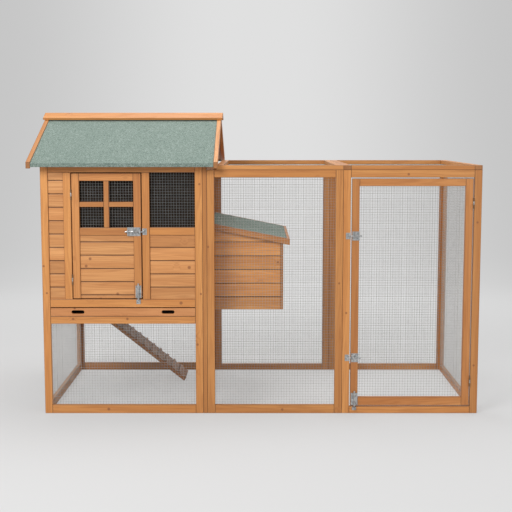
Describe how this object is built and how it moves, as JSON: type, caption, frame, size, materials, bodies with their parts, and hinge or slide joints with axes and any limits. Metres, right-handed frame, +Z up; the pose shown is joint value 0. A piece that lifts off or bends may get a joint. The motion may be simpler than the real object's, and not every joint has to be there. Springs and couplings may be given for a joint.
{
  "type": "chicken coop with run",
  "caption": "Timber hen house with a felt roof, nest box, tray and ramp, joined to a wire run with a barred door and sliding bolts.",
  "frame": {"origin": "centre of the bounding box on the ground", "axes": "+X to the right along the length from the house to the run's end, +Y to the back, +Z up"},
  "size_m": [2.102, 1.04, 1.418],
  "materials": {
    "timber": "honey stained fir, satin",
    "roof_felt": "green grey mineral felt",
    "wire_net": "galvanised welded wire",
    "zinc": "galvanised",
    "hinge_steel": "dull plated steel"
  },
  "bodies": {
    "frame": {"house_front_frame": "timber", "house_front_siding": "timber", "house_window_net": "wire_net", "under_front_net": "wire_net", "house_left_frame": "timber", "house_left_siding": "timber", "under_left_net": "wire_net", "house_right_frame": "timber", "house_right_siding": "timber", "house_back_frame": "timber", "house_back_siding": "timber", "under_back_net": "wire_net", "house_floor": "timber", "floor_bearers": "timber", "gable_boards": "timber", "roof_panels": "timber", "roof_felt": "roof_felt", "barge_boards": "timber", "ridge_cap": "timber", "door_hinge_post_leaves": "hinge_steel", "bolt_keepers": "zinc", "ramp_hinge_floor_leaf": "hinge_steel", "nest_hinge_wall_leaves": "hinge_steel", "nest_side_walls": "timber", "nest_end_wall": "timber", "nest_floor": "timber", "nest_divider": "timber", "run_front_frame": "timber", "run_front_net": "wire_net", "run_back_frame": "timber", "run_back_nets": "wire_net", "run_end_frame": "timber", "run_end_net": "wire_net", "run_top_frame": "timber", "run_top_nets": "wire_net"},
    "tray": {"tray_front": "timber", "tray_pan": "zinc"},
    "ramp": {"ramp_board": "timber", "ramp_cleats": "timber", "ramp_hinge_leaf": "hinge_steel"},
    "nest_lid": {"nest_lid_panel": "timber", "nest_lid_felt": "roof_felt", "nest_lid_trim": "timber", "nest_lid_hinge_leaves": "hinge_steel"},
    "house_door": {"house_door_frame": "timber", "house_door_siding": "timber", "house_door_net": "wire_net", "house_door_hardware": "zinc"},
    "run_door": {"run_door_frame": "timber", "run_door_net": "wire_net", "run_door_hardware": "zinc"},
    "upper_house_bolt": {"house_bolt_upper": "zinc"},
    "lower_house_bolt": {"house_bolt_lower": "zinc"},
    "upper_run_bolt": {"run_bolt_upper": "zinc"},
    "middle_run_bolt": {"run_bolt_middle": "zinc"},
    "foot_run_bolt": {"run_bolt_foot": "zinc"}
  },
  "joints": [
    {"name": "house_door_hinge", "type": "hinge", "parent": "frame", "child": "house_door", "pos_m": [-0.8473, -0.4735, 0.545], "axis": [0, 0, -1], "range_deg": [0, 110]},
    {"name": "run_door_hinge", "type": "hinge", "parent": "frame", "child": "run_door", "pos_m": [1.0135, -0.4735, 0.038], "axis": [0, 0, 1], "range_deg": [0, 110]},
    {"name": "nest_lid_hinge", "type": "hinge", "parent": "frame", "child": "nest_lid", "pos_m": [-0.2175, 0, 0.8958], "axis": [0, -1, 0], "range_deg": [0, 50]},
    {"name": "ramp_hinge", "type": "hinge", "parent": "frame", "child": "ramp", "pos_m": [-0.903, 0.27, 0.447], "axis": [0, -1, 0], "range_deg": [0, 34]},
    {"name": "tray_slide", "type": "slide", "parent": "frame", "child": "tray", "axis": [0, -1, 0], "range_m": [0, 0.45]},
    {"name": "house_bolt_upper_slide", "type": "slide", "parent": "house_door", "child": "upper_house_bolt", "axis": [1, 0, 0], "range_m": [-0.008, 0.008]},
    {"name": "house_bolt_lower_slide", "type": "slide", "parent": "house_door", "child": "lower_house_bolt", "axis": [0, 0, -1], "range_m": [-0.008, 0.008]},
    {"name": "run_bolt_upper_slide", "type": "slide", "parent": "run_door", "child": "upper_run_bolt", "axis": [-1, 0, 0], "range_m": [-0.008, 0.008]},
    {"name": "run_bolt_middle_slide", "type": "slide", "parent": "run_door", "child": "middle_run_bolt", "axis": [-1, 0, 0], "range_m": [-0.008, 0.008]},
    {"name": "run_bolt_foot_slide", "type": "slide", "parent": "run_door", "child": "foot_run_bolt", "axis": [0, 0, -1], "range_m": [-0.008, 0.008]}
  ]
}
